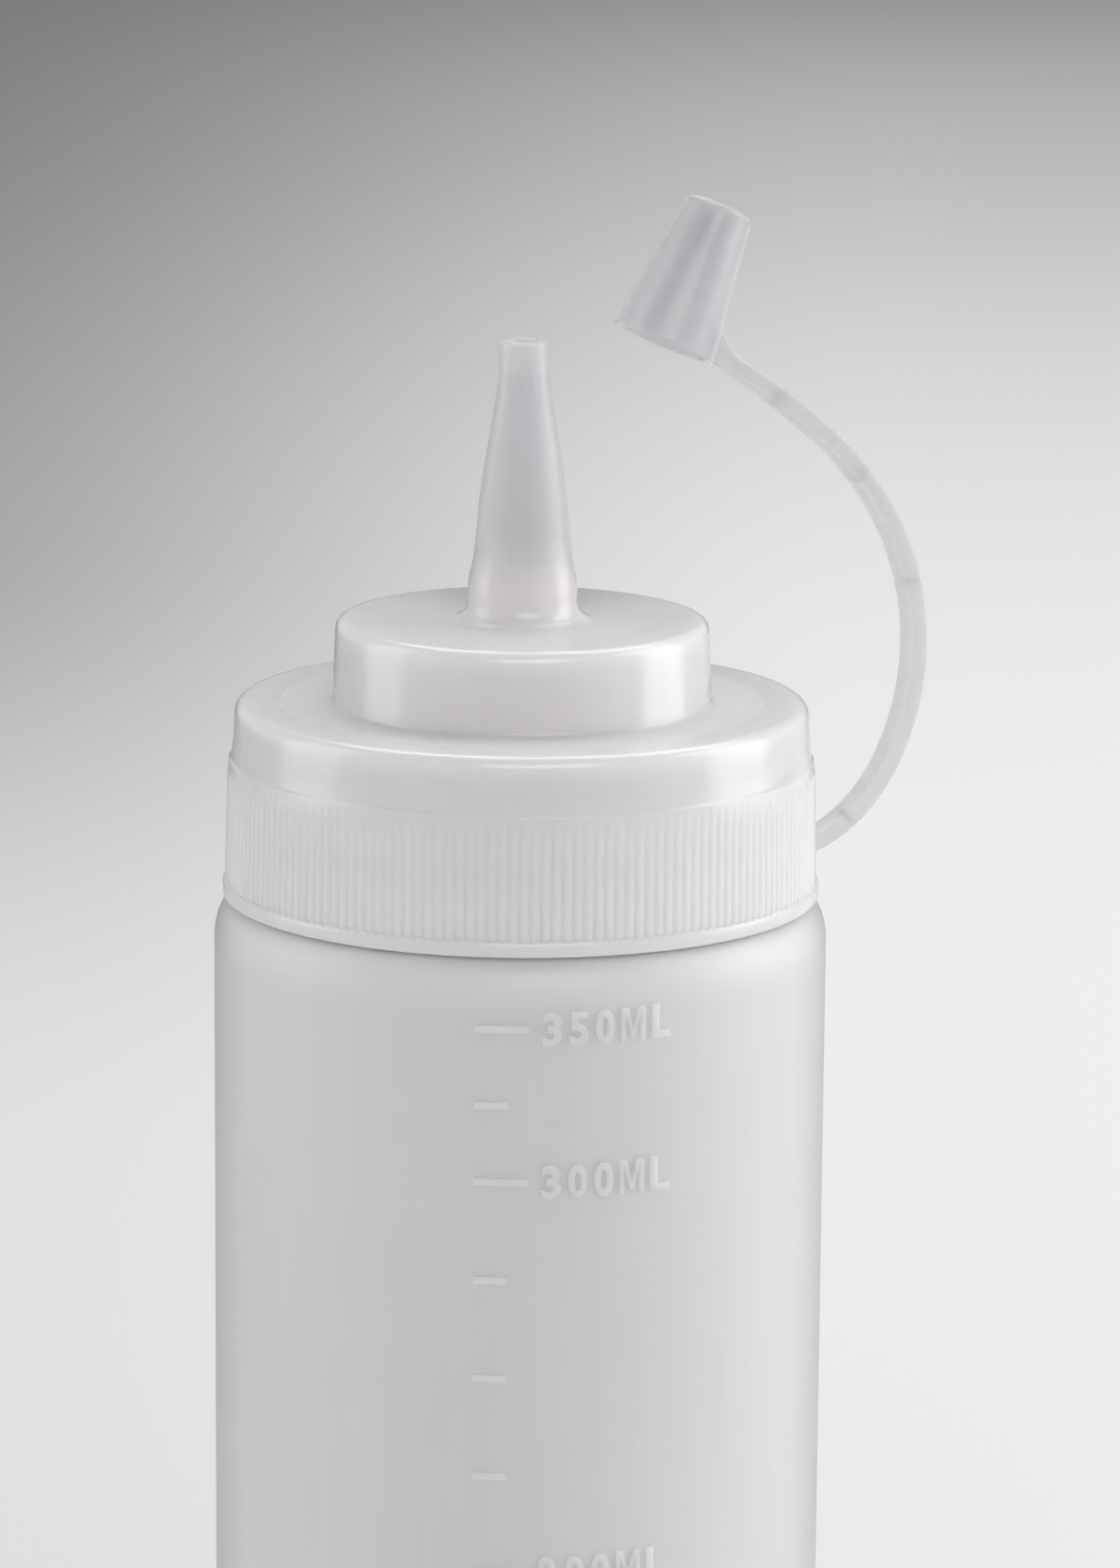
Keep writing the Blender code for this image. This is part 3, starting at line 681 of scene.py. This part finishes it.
class BOTTLE_OT_marks(bpy.types.Operator):
    """Raised measuring marks and their figures"""

    bl_idname = "squeeze_bottle.marks"
    bl_label = "Measuring marks"

    def execute(self, context):
        marks = sizes().marks
        relief = sizes().bottle.relief
        foot_wall, wall_slope = wall_line()
        levels = {350 - 25 * k: marks.top - marks.upper_step * k for k in range(3)}
        levels.update({300 - 25 * k: levels[300] - marks.lower_step * k for k in range(1, 12)})
        form = bmesh.new()
        for volume, level in levels.items():
            reach = foot_wall + wall_slope * level
            long_mark = volume in LABELLED
            end = marks.long_end if long_mark else marks.short_end
            self.add_bar(form, reach, relief, level, marks.start, end)
            if long_mark:
                self.add_label(form, reach, relief, level, f"{volume}ML")
        bmesh.ops.recalc_face_normals(form, faces=form.faces)
        self.join_to_wall(context, form)
        return {"FINISHED"}

    def join_to_wall(self, context, form):
        """Makes the marks and the body one skin."""
        body = bpy.data.objects["bottle_body"]
        raised = add_piece("raised_marks", form, body_finish())
        union = body.modifiers.new("raised_marks", "BOOLEAN")
        union.operation, union.solver, union.object = "UNION", "EXACT", raised
        union.use_self = True
        context.view_layer.update()
        joined = bpy.data.meshes.new_from_object(body.evaluated_get(context.evaluated_depsgraph_get()))
        body.modifiers.clear()
        spent = (body.data, raised.data)
        body.data = joined
        bpy.data.objects.remove(raised)
        for mesh in spent:
            bpy.data.meshes.remove(mesh)
        joined.name = "bottle_body"
        joined.shade_smooth()
        joined.set_sharp_from_angle(angle=math.radians(28.0))

    def add_bar(self, form, reach, relief, level, start, end):
        """A bar spun along the wall, proud by the relief and let into it a little."""
        half = sizes().marks.thickness / 2
        soft = relief * 0.6
        root = reach - 0.1 * MM
        crest = reach + relief * 0.97
        section = rounded([(root, level - half, 0.0), (crest, level - half, soft), (crest, level + half, soft),
                           (root, level + half, 0.0)], 3)
        loop = [form.verts.new((r * math.sin(start), -r * math.cos(start), z)) for r, z in section]
        edges = [form.edges.new((loop[k - 1], loop[k])) for k in range(len(loop))]
        made = bmesh.ops.spin(form, geom=loop + edges, cent=(0, 0, 0), axis=(0, 0, 1), angle=end - start, steps=12)
        last = [item for item in made["geom_last"] if isinstance(item, bmesh.types.BMEdge)]
        form.faces.new(loop)
        bmesh.ops.contextual_create(form, geom=last)

    def add_label(self, form, reach, relief, level, words):
        """Figures one by one as raised text, each fitted to its own arc and bent round the wall."""
        marks = sizes().marks
        start = marks.letter_start
        for place, letter in enumerate(words):
            wide = marks.letter_width * {"1": 0.62, "M": 1.32, "L": 1.02}.get(letter, 1.0)
            start += marks.letter_width * (0.18 if letter == "1" else 0.0)
            part = self.pointed_m() if letter == "M" else self.figure(letter)
            low = Vector([min(v.co[k] for v in part.verts) for k in range(3)])
            high = Vector([max(v.co[k] for v in part.verts) for k in range(3)])
            grow = Vector((wide * reach / (high.x - low.x), marks.letter_height / (high.y - low.y),
                           relief * 2.0 / (high.z - low.z)))
            foot = level - marks.letter_height / 2 + marks.letter_rise * place / (len(words) - 1)
            for vert in part.verts:
                vert.co = Vector([(vert.co[k] - low[k]) * grow[k] for k in range(3)])
                vert.co += Vector((start * reach, foot, -relief * 1.04))
            wrap_on_body(part, reach)
            flat = bpy.data.meshes.new("figure")
            part.to_mesh(flat)
            part.free()
            form.from_mesh(flat)
            bpy.data.meshes.remove(flat)
            start += wide + marks.letter_gap

    def pointed_m(self):
        """An M whose strokes meet in sharp corners."""
        outline = ((0, 0), (0, 1), (0.28, 1), (0.5, 0.42), (0.72, 1), (1, 1), (1, 0), (0.79, 0), (0.79, 0.68),
                   (0.58, 0.1), (0.42, 0.1), (0.21, 0.68), (0.21, 0))
        part = bmesh.new()
        face = part.faces.new([part.verts.new((x, y, 0.0)) for x, y in outline])
        grown = bmesh.ops.extrude_face_region(part, geom=[face], use_keep_orig=True)["geom"]
        bmesh.ops.translate(part, verts=[item for item in grown if isinstance(item, bmesh.types.BMVert)],
                            vec=(0.0, 0.0, 0.1))
        crest = [edge for edge in part.edges if min(vert.co.z for vert in edge.verts) > 0.05]
        bmesh.ops.bevel(part, geom=crest, offset=0.035, offset_type="OFFSET", segments=2, profile=0.5,
                        affect="EDGES", material=-1, clamp_overlap=True)
        return part

    def figure(self, letter):
        """A heavy, soft-edged raised letter or figure, lying flat."""
        text = bpy.data.curves.new("figure", "FONT")
        text.body = letter
        text.offset = 0.03
        text.resolution_u = 4
        text.extrude = 0.05
        text.bevel_depth = 0.014
        text.bevel_resolution = 1
        holder = bpy.data.objects.new("figure", text)
        flat = bpy.data.meshes.new_from_object(holder)
        part = bmesh.new()
        part.from_mesh(flat)
        bmesh.ops.remove_doubles(part, verts=part.verts, dist=0.0001)
        bpy.data.objects.remove(holder)
        bpy.data.curves.remove(text)
        bpy.data.meshes.remove(flat)
        return part


class BOTTLE_OT_lid(bpy.types.Operator):
    """Ribbed screw lid with its collar, deck, turret and nozzle"""

    bl_idname = "squeeze_bottle.lid"
    bl_label = "Lid"

    def execute(self, context):
        lid = sizes().lid
        pitch = 2 * math.pi / lid.rib_count
        quarters = len(RIB_SECTION) - 1
        form = bmesh.new()
        ring = [form.verts.new((r, 0.0, z)) for r, z in self.outline()]
        edges = [form.edges.new((ring[k - 1], ring[k])) for k in range(len(ring))]
        bmesh.ops.spin(form, geom=ring + edges, cent=(0, 0, 0), axis=(0, 0, 1), angle=pitch, steps=quarters)
        self.raise_rib(form, pitch / quarters)
        bmesh.ops.spin(form, geom=form.verts[:] + form.edges[:] + form.faces[:], cent=(0, 0, 0), axis=(0, 0, 1),
                       angle=2 * math.pi - pitch, steps=lid.rib_count - 1, use_duplicate=True)
        bmesh.ops.remove_doubles(form, verts=form.verts, dist=WELD)
        bmesh.ops.recalc_face_normals(form, faces=form.faces)
        body = add_piece("ribbed_lid", form, lid_finish(), 40.0)
        bottle = sizes().bottle
        neck_foot = BOTTLE_HIGH.z - bottle.neck_height + THREAD_FOOT
        between_turns = neck_foot + bottle.thread_lead / 2
        ridge = add_piece("lid_thread", thread(skirt_bore(), between_turns, 2.0, -1.0), lid_finish())
        for piece in (body, ridge):
            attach(piece, "lid")
        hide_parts("lid")
        return {"FINISHED"}

    def raise_rib(self, form, quarter):
        """Draws one rib out of a slice of the skirt, with a short ramp at its foot and its top."""
        lid = sizes().lid
        ribbed = skirt_bore() + 1.0 * MM
        for vert in form.verts:
            out = Vector((vert.co.x, vert.co.y, 0.0))
            share_up = (vert.co.z - LID_LOW.z - lid.bead_height) / (lid.rib_top - lid.bead_height)
            if out.length > ribbed and 0.0 < share_up < 1.0:
                place = round(math.atan2(out.y, out.x) / quarter)
                ramp = min(1.0, 0.6 + share_up * 14, (1.0 - share_up) * 22)
                vert.co += out.normalized() * (lid.rib_depth - lid.rib_draft * share_up) * RIB_SECTION[place] * ramp

    def outline(self):
        """The lid's whole section: from the skirt's foot out and up to the tip, and back down inside."""
        lid = sizes().lid
        foot, tip = LID_LOW.z, LID_HIGH.z
        bore, bead = skirt_bore(), bead_radius()
        low_root = bore + lid.skirt_wall + 0.05 * MM
        high_root = low_root - 0.08 * MM
        ribs_low, ribs_high = foot + lid.bead_height, foot + lid.rib_top
        deck = foot + lid.deck_top
        turret = deck + lid.turret_height
        turret_top = lid.turret_radius - 0.28 * MM
        height = tip - turret
        taper = lid.nozzle_base - lid.nozzle_tip
        nozzle = [(lid.nozzle_tip + taper * w, turret + height * s, 0.0) for s, w in eased(NOZZLE_SIDE, 26)]
        inside = [(max(lid.tip_bore, r - lid.nozzle_wall), z, 0.0) for r, z, _ in nozzle]
        fillet_top = turret + 1.05 * lid.nozzle_fillet
        land = tip - lid.tip_land
        roof = turret - lid.turret_wall
        under = deck - lid.deck_wall
        corners = [(bore, foot, 0.25 * MM), (bead, foot, 0.24 * MM), (bead, ribs_low, 0.38 * MM)]
        corners += [(low_root + (high_root - low_root) * up, ribs_low + 0.1 * MM
                     + (ribs_high - ribs_low - 0.15 * MM) * up, 0.0) for up in RIB_RINGS]
        corners += [(high_root - 0.02 * MM, ribs_high + 0.55 * MM, 0.2 * MM),
                    (high_root - 0.24 * MM, ribs_high + 0.8 * MM, 0.15 * MM),
                    (high_root - 0.45 * MM, ribs_high + 2.6 * MM, 0.0),
                    (high_root - 0.62 * MM, deck, lid.deck_corner), (lid.turret_radius, deck, 0.45 * MM),
                    (turret_top, turret, lid.turret_corner), (lid.nozzle_base, turret, lid.nozzle_fillet)]
        corners += [corner for corner in nozzle if fillet_top < corner[1] < tip - 1.2 * MM]
        corners += [(lid.nozzle_tip, tip, 0.32 * MM), (lid.tip_bore, tip, 0.2 * MM), (lid.tip_bore, land, 0.0)]
        corners += [corner for corner in reversed(inside[::3]) if turret < corner[1] < land - 0.6 * MM]
        corners += [(lid.nozzle_base - lid.nozzle_wall, roof, 0.6 * MM),
                    (lid.turret_radius - lid.turret_wall, roof, 0.8 * MM),
                    (lid.turret_radius - lid.turret_wall, under, 0.4 * MM), (bore, under, 0.5 * MM),
                    (bore, foot + 1.0 * MM, 0.0)]
        return rounded(corners, 4)


class BOTTLE_OT_seal(bpy.types.Operator):
    """Foamed sealing ring between the neck's lip and the deck"""

    bl_idname = "squeeze_bottle.seal"
    bl_label = "Sealing ring"

    def execute(self, context):
        bottle = sizes().bottle
        inner = neck_radius() - bottle.neck_wall - 1.2 * MM
        soft = 0.25 * MM
        outline = rounded([(inner, SEAL_LOW.z, soft), (SEAL_HIGH.x, SEAL_LOW.z, soft),
                           (SEAL_HIGH.x, SEAL_HIGH.z, soft), (inner, SEAL_HIGH.z, soft)], 4)
        ring = add_piece("soft_seal_ring", turned(outline, 160, closed=True), seal_finish())
        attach(ring, "seal")
        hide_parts("sealing_ring")
        return {"FINISHED"}


class Strap:
    """The strap's route in its upright plane: a chain of arcs through the hinges."""

    def __init__(self):
        joints = {joint["name"]: joint for joint in frame["joints"]}
        self.side = Vector(joints[HINGE_NAMES[0]]["axis"]).normalized()
        self.outward = Vector((0.0, 0.0, 1.0)).cross(self.side)
        tether = sizes().tether
        self.hinges = [Vector(joints[name]["pos_m"]) for name in HINGE_NAMES]
        flat = [Vector((hinge.dot(self.outward), hinge.z)) for hinge in self.hinges]
        at, heading = Vector((bead_radius(), LID_LOW.z + tether.thickness / 2)), 0.0
        self.root, self.arcs = at, []
        for following in flat:
            chord = following - at
            turn = 2 * (math.atan2(chord.y, chord.x) - heading)
            self.arcs.append((at, heading, chord.length / 2 / math.sin(turn / 2), turn))
            at, heading = following, heading + turn
        turn = tether.cap_stub_turn
        self.arcs.append((at, heading, tether.cap_stub / turn, turn))
        self.end = self.along(len(self.arcs) - 1, 1.0)
        self.end_heading = heading + turn

    def along(self, index, part):
        """The point at this part of an arc."""
        start, heading, reach, turn = self.arcs[index]
        swept = turn * part
        return start + reach * Vector((math.sin(heading + swept) - math.sin(heading),
                                       math.cos(heading) - math.cos(heading + swept)))

    def place(self, point):
        return self.outward * point.x + Vector((0.0, 0.0, point.y))

    def pointing(self, heading):
        return self.outward * math.cos(heading) + Vector((0.0, 0.0, math.sin(heading)))


class BOTTLE_OT_tether(bpy.types.Operator):
    """Bent strap, in one piece for each of its bends"""

    bl_idname = "squeeze_bottle.tether"
    bl_label = "Strap"

    def execute(self, context):
        strap = Strap()
        for bend, hinge in enumerate(strap.hinges):
            first, last = bend == 0, bend == len(strap.hinges) - 1
            form = self.stretch(strap, bend, first, last)
            piece = add_piece(f"strap_{bend + 1}", form, thin_finish(), 50.0)
            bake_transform(piece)
            if not last:
                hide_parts(f"tether_link_{bend + 1}")
        return {"FINISHED"}

    def stretch(self, strap, bend, first, last):
        """Half an arc before the bend and half an arc after it; the end pieces take their whole arc."""
        tether = sizes().tether
        half, side = tether.thickness / 2, tether.width / 2
        start, heading, reach, turn = strap.arcs[bend]
        begin = 0.0 if first else 0.5
        centre = strap.along(bend, begin)
        heading += turn * begin
        section = rounded([(-half, -side, tether.corner), (half, -side, tether.corner), (half, side, tether.corner),
                           (-half, side, tether.corner)], 4)
        across = strap.pointing(heading + QUARTER)
        form = bmesh.new()
        shift = strap.pointing(heading) * (tether.root_depth if first else 0.0)
        loop = [form.verts.new(strap.place(centre) + across * t + strap.side * w - shift) for t, w in section]
        edges = [form.edges.new((loop[k - 1], loop[k])) for k in range(len(loop))]
        form.faces.new(loop)
        if first:
            grown = bmesh.ops.extrude_edge_only(form, edges=edges)["geom"]
            fresh = {item for item in grown if isinstance(item, bmesh.types.BMVert)}
            bmesh.ops.translate(form, verts=list(fresh), vec=shift)
            edges = [item for item in grown if isinstance(item, bmesh.types.BMEdge) and fresh.issuperset(item.verts)]
        for arc_index, part in ((bend, 1.0 - begin), (bend + 1, 1.0 if last else 0.5)):
            start, heading, reach, turn = strap.arcs[arc_index]
            middle = strap.place(start) + strap.pointing(heading + QUARTER) * reach
            made = bmesh.ops.spin(form, geom=edges, cent=middle, axis=strap.side, angle=turn * part, steps=14)
            edges = [item for item in made["geom_last"] if isinstance(item, bmesh.types.BMEdge)]
        bmesh.ops.contextual_create(form, geom=edges)
        if last:
            self.flare(form, strap)
        bmesh.ops.recalc_face_normals(form, faces=form.faces)
        return form

    def flare(self, form, strap):
        """Draws the strap's outer side up the cap's wall, as a small web."""
        tether = sizes().tether
        end, ahead = strap.place(strap.end), strap.pointing(strap.end_heading)
        up = strap.pointing(strap.end_heading - QUARTER)
        for vert in form.verts:
            back = (end - vert.co).dot(ahead)
            lift = (vert.co - end).dot(up)
            if back < 2.2 * tether.flare and lift > 0.0:
                vert.co += up * tether.flare * (1.0 - max(back, 0.0) / (2.2 * tether.flare)) ** 2


class BOTTLE_OT_cap(bpy.types.Operator):
    """Tip cap with the pin that plugs the nozzle"""

    bl_idname = "squeeze_bottle.cap"
    bl_label = "Tip cap"

    def execute(self, context):
        cap = sizes().cap
        top, roof = cap.cap_length, cap.cap_length - cap.top_thickness
        inner = cap.top_radius - cap.wall
        pin_end = roof - cap.pin_length
        soft = 0.25 * MM
        corners = [(0.0, pin_end, 0.0), (cap.pin_radius, pin_end, 0.35 * MM), (cap.pin_radius * 1.1, roof, 0.5 * MM),
                   (inner, roof, 0.4 * MM), (cap.mouth_radius - cap.wall, 0.0, soft), (cap.mouth_radius, 0.0, soft),
                   (cap.top_radius, top, cap.top_edge), (0.0, top, 0.0)]
        form = turned(rounded(corners, 8), 96)
        strap = Strap()
        axis = strap.pointing(strap.end_heading - QUARTER)
        mouth = strap.place(strap.end) + strap.pointing(strap.end_heading) * (cap.mouth_radius - cap.wall / 2)
        mouth -= axis * (sizes().tether.thickness / 2 + cap.rim_drop)
        lean = Matrix((strap.side.cross(axis), strap.side, axis)).transposed().to_4x4()
        bmesh.ops.transform(form, matrix=Matrix.Translation(mouth) @ lean, verts=form.verts)
        piece = add_piece("tip_cap_shell", form, thin_finish())
        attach(piece, "cap")
        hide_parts("tip_cap")
        return {"FINISHED"}


class BOTTLE_OT_stage(bpy.types.Operator):
    """Pale floor, soft lights and the camera"""

    bl_idname = "squeeze_bottle.stage"
    bl_label = "Floor, lights and camera"

    def execute(self, context):
        stage = sizes().stage
        form = bmesh.new()
        bmesh.ops.create_grid(form, x_segments=8, y_segments=8, size=stage.floor_reach)
        bmesh.ops.translate(form, verts=form.verts, vec=(0.0, 0.0, CAD_LOW.z))
        add_piece("paper_floor", form, floor_finish())
        for name, place, size, power in LAMPS:
            self.add_light(name, place, size, getattr(stage, power))
        self.add_camera(stage)
        world = bpy.data.worlds.new("studio_air")
        world.use_nodes = True
        self.light_walls(world.node_tree, stage)
        context.scene.world = world
        context.scene.view_settings.view_transform = "Standard"
        return {"FINISHED"}

    def light_walls(self, tree, stage):
        """Even light from pale walls all round, fading to a dimmer ceiling."""
        way = tree.nodes.new("ShaderNodeTexCoord")
        rise = tree.nodes.new("ShaderNodeSeparateXYZ")
        fade = tree.nodes.new("ShaderNodeMapRange")
        fade.interpolation_type = "SMOOTHSTEP"
        for key, value in {"From Min": 0.15, "From Max": 0.6, "To Min": stage.band, "To Max": stage.air}.items():
            fade.inputs[key].default_value = value
        back = tree.nodes["Background"]
        back.inputs["Color"].default_value = (1.0, 1.0, 1.0, 1.0)
        tree.links.new(way.outputs["Generated"], rise.inputs[0])
        tree.links.new(rise.outputs["Z"], fade.inputs["Value"])
        tree.links.new(fade.outputs["Result"], back.inputs["Strength"])

    def add_light(self, name, place, size, power):
        """A soft rectangular lamp that faces the lid."""
        light = bpy.data.lights.new(name, "AREA")
        light.shape = "RECTANGLE"
        light.size, light.size_y = size
        light.energy = power
        lamp = bpy.data.objects.new(name, light)
        bpy.context.scene.collection.objects.link(lamp)
        lamp.location = place
        lamp.rotation_euler = (LAMP_AIM - lamp.location).to_track_quat("-Z", "Y").to_euler()
        lamp.visible_camera = False

    def add_camera(self, stage):
        """The camera looks slightly down from the front, turned a little about its own line of sight."""
        rise, roll = stage.elevation, stage.roll
        ahead = Vector((0.0, math.cos(rise), -math.sin(rise)))
        upright = Vector((0.0, math.sin(rise), math.cos(rise)))
        right = math.cos(roll) * Vector((1.0, 0.0, 0.0)) + math.sin(roll) * upright
        up = right.cross(ahead)
        data = bpy.data.cameras.new("photo_view")
        data.lens = stage.lens
        data.sensor_width = 36.0
        data.clip_start, data.clip_end = 0.05, 30.0
        camera = bpy.data.objects.new("photo_view", data)
        bpy.context.scene.collection.objects.link(camera)
        turn = Matrix((right, up, -ahead)).transposed().to_4x4()
        camera.matrix_world = Matrix.Translation(Vector(stage.target) - ahead * stage.distance) @ turn
        bpy.context.scene.camera = camera


STEPS = (BOTTLE_OT_body, BOTTLE_OT_marks, BOTTLE_OT_lid, BOTTLE_OT_seal, BOTTLE_OT_tether, BOTTLE_OT_cap,
         BOTTLE_OT_stage)


class BOTTLE_PT_panel(bpy.types.Panel):
    """Lists the steps in the sidebar"""

    bl_idname = "BOTTLE_PT_panel"
    bl_label = "Squeeze Bottle"
    bl_space_type = "VIEW_3D"
    bl_region_type = "UI"
    bl_category = "Squeeze Bottle"

    def draw(self, context):
        for step in STEPS:
            self.layout.operator(step.bl_idname)


CLASSES = (BottleSizes, MarkSizes, LidSizes, TetherSizes, CapSizes, Finishes, StageSizes, SqueezeBottle, *STEPS,
           BOTTLE_PT_panel)


def register():
    for entry in CLASSES:
        bpy.utils.register_class(entry)
    bpy.types.Scene.squeeze_bottle = PointerProperty(type=SqueezeBottle)


def unregister():
    del bpy.types.Scene.squeeze_bottle
    for entry in reversed(CLASSES):
        bpy.utils.unregister_class(entry)


def main():
    register()
    make = bpy.ops.squeeze_bottle
    make.body()
    make.marks()
    make.lid()
    make.seal()
    make.tether()
    make.cap()
    make.stage()


if __name__ == "__main__":
    main()
